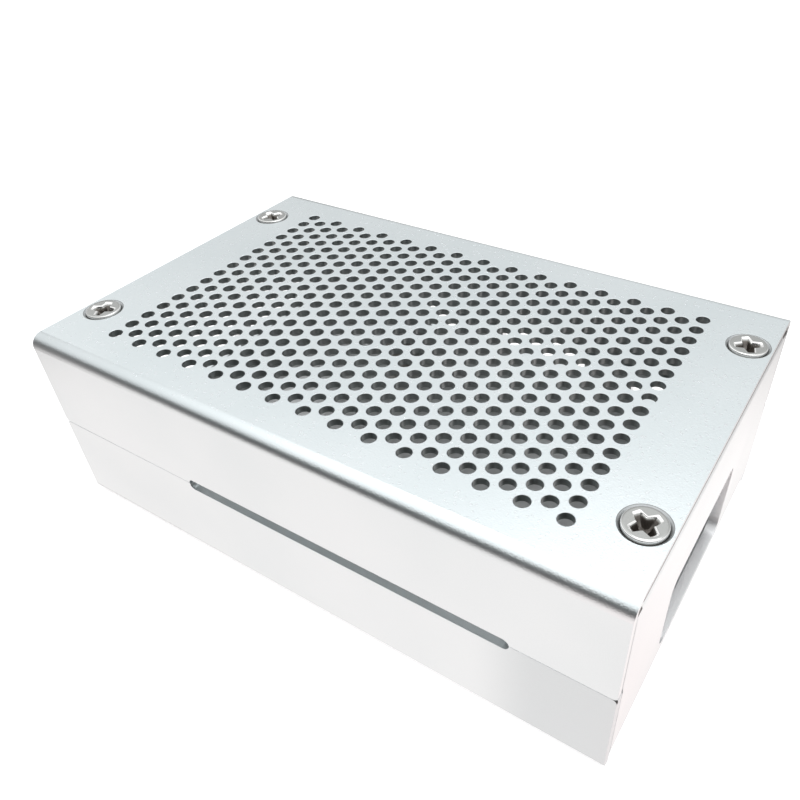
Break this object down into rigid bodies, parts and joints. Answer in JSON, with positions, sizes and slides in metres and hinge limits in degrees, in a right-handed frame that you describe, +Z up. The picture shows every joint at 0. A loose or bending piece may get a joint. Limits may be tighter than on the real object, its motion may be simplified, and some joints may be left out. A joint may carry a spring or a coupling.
{
  "type": "single-board computer case",
  "caption": "Folded aluminium case for a small computer board, with a perforated screw-on cover, port and socket openings, a ribbon slot and a card window.",
  "frame": {"origin": "middle of the underside that the case stands on", "axes": "+X along the case towards the end with the card window, +Y towards the port side away from the ribbon slot, +Z up"},
  "size_m": [0.094, 0.0596, 0.0318],
  "materials": {
    "cover_sheet": "fine blasted, natural anodised",
    "tray_sheet": "fine blasted, natural anodised",
    "screw_steel": "bright plated",
    "standoff_steel": "bright plated"
  },
  "bodies": {
    "root": {"top_cover": "cover_sheet", "base_tray": "tray_sheet", "cover_screws": "screw_steel", "standoff_front_left": "standoff_steel", "standoff_front_right": "standoff_steel", "standoff_back_left": "standoff_steel", "standoff_back_right": "standoff_steel"}
  },
  "joints": []
}
